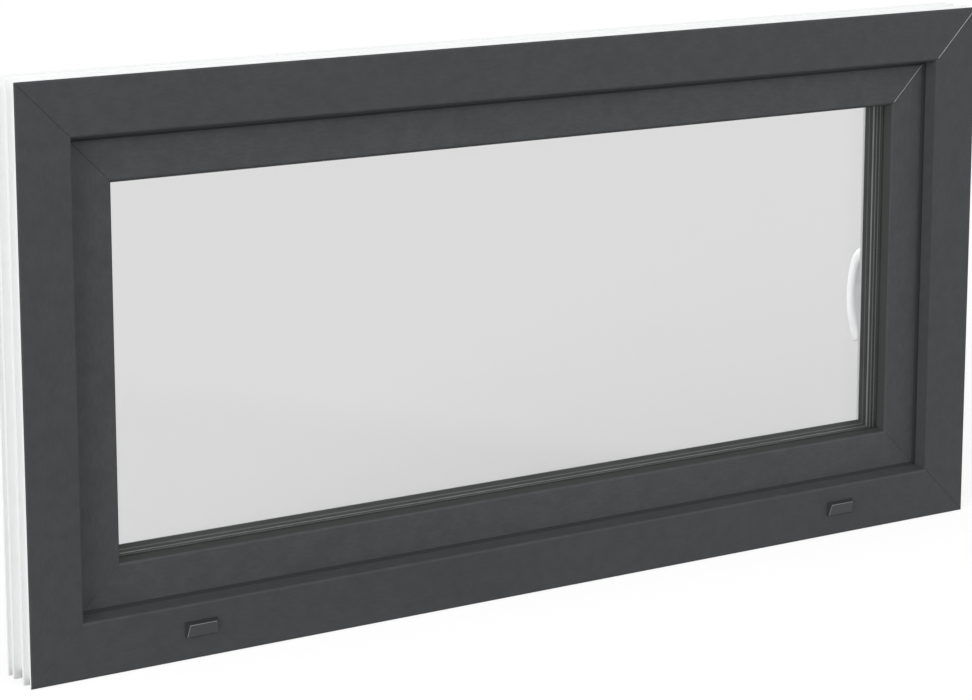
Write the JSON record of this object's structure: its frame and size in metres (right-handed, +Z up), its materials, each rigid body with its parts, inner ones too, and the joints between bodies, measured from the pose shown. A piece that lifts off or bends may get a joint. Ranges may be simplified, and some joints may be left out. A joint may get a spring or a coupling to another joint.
{
  "type": "basement window",
  "caption": "Inward-opening basement window: foil-covered outer frame and sash with mitred corners, double glazing, room-side lever handle and hooded drain caps.",
  "frame": {"origin": "underside of the sill, mid-length, in the middle of the rear foot strip that the window is packed up on", "axes": "+X to the right as seen from outside, +Y into the building, +Z up"},
  "size_m": [1, 0.1186, 0.5],
  "materials": {
    "white_profile": "smooth white PVC-U, semi-gloss",
    "cap_plastic": "moulded dark grey ABS",
    "edge_sealant": "black sealant",
    "foil_profile": "dark grey foil with a fine embossed wood grain on PVC-U, outside; white PVC-U at the sides and inside",
    "packer_plastic": "moulded plastic blocks",
    "handle_enamel": "white powder coat",
    "spindle_steel": "zinc-plated square steel bar",
    "gasket_rubber": "black EPDM, matt",
    "float_glass": "clear float glass, 4 mm",
    "hinge_steel": "zinc-plated steel pin",
    "spacer_bar": "dark warm-edge spacer"
  },
  "bodies": {
    "root": {"bead_bottom": "white_profile", "bead_left": "white_profile", "bead_right": "white_profile", "bead_top": "white_profile", "drain_cap_left": "cap_plastic", "drain_cap_right": "cap_plastic", "edge_seal": "edge_sealant", "frame_head": "foil_profile", "frame_jamb_left": "foil_profile", "frame_jamb_right": "foil_profile", "frame_sill": "foil_profile", "glazing_packers": "packer_plastic", "handle_lever": "handle_enamel", "handle_rosette": "handle_enamel", "handle_spindle": "spindle_steel", "inner_glazing_gasket": "gasket_rubber", "inner_pane": "float_glass", "lower_hinge_frame_knuckle": "handle_enamel", "lower_hinge_pin": "hinge_steel", "lower_hinge_sash_knuckle": "handle_enamel", "outer_glazing_gasket": "gasket_rubber", "outer_pane": "float_glass", "overlap_gasket": "gasket_rubber", "sash_bottom": "foil_profile", "sash_left": "foil_profile", "sash_right": "foil_profile", "sash_top": "foil_profile", "spacer_frame": "spacer_bar", "stop_gasket": "gasket_rubber", "upper_hinge_frame_knuckle": "handle_enamel", "upper_hinge_pin": "hinge_steel", "upper_hinge_sash_knuckle": "handle_enamel"}
  },
  "joints": []
}
